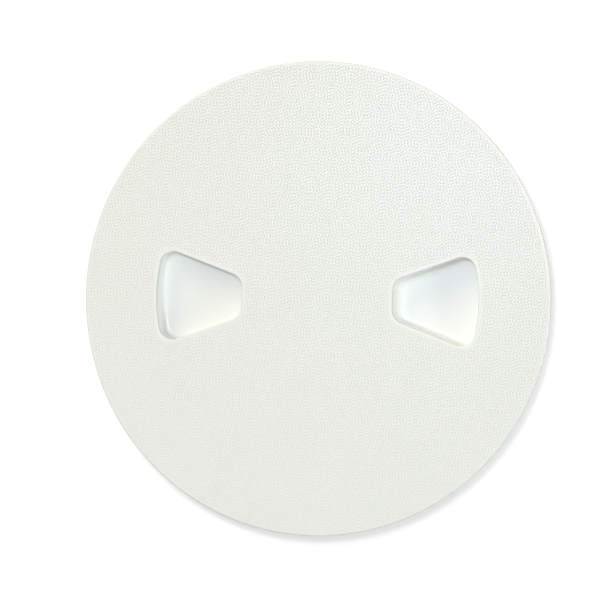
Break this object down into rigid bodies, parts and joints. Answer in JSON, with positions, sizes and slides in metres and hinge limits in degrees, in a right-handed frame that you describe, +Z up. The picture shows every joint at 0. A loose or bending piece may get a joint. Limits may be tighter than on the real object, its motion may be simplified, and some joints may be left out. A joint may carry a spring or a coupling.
{
  "type": "deck inspection plate",
  "caption": "Round screw-out deck inspection plate with a grained cover, recessed finger pockets, a rubber ring and a threaded base ring that fastens to the deck.",
  "frame": {"origin": "middle of the deck opening, at the height of the deck's surface, where the flange's underside lies", "axes": "+Z up out of the deck along the thread's axis; +X through the two finger pockets when the cover is closed"},
  "size_m": [0.203, 0.203, 0.0237],
  "materials": {
    "cover_plastic": "off-white moulded plastic, pebble grain on the top face, polished pockets and rim",
    "base_plastic": "off-white moulded plastic, smooth",
    "seal_rubber": "black rubber, lightly greased"
  },
  "bodies": {
    "base": {"base_ring": "base_plastic"},
    "seal": {"seal_ring": "seal_rubber"},
    "lid": {"cover": "cover_plastic"}
  },
  "joints": [
    {"name": "cover_rise", "type": "slide", "parent": "base", "child": "seal", "axis": [0, 0, 1], "range_m": [0, 0.0065]},
    {"name": "cover_turn", "type": "hinge", "parent": "seal", "child": "lid", "pos_m": [0, 0, 0], "axis": [0, 0, 1], "range_deg": [0, 468]}
  ],
  "couplings": [
    {"joint": "cover_rise", "follows": "cover_turn", "m_per_rad": 0.00079577}
  ]
}
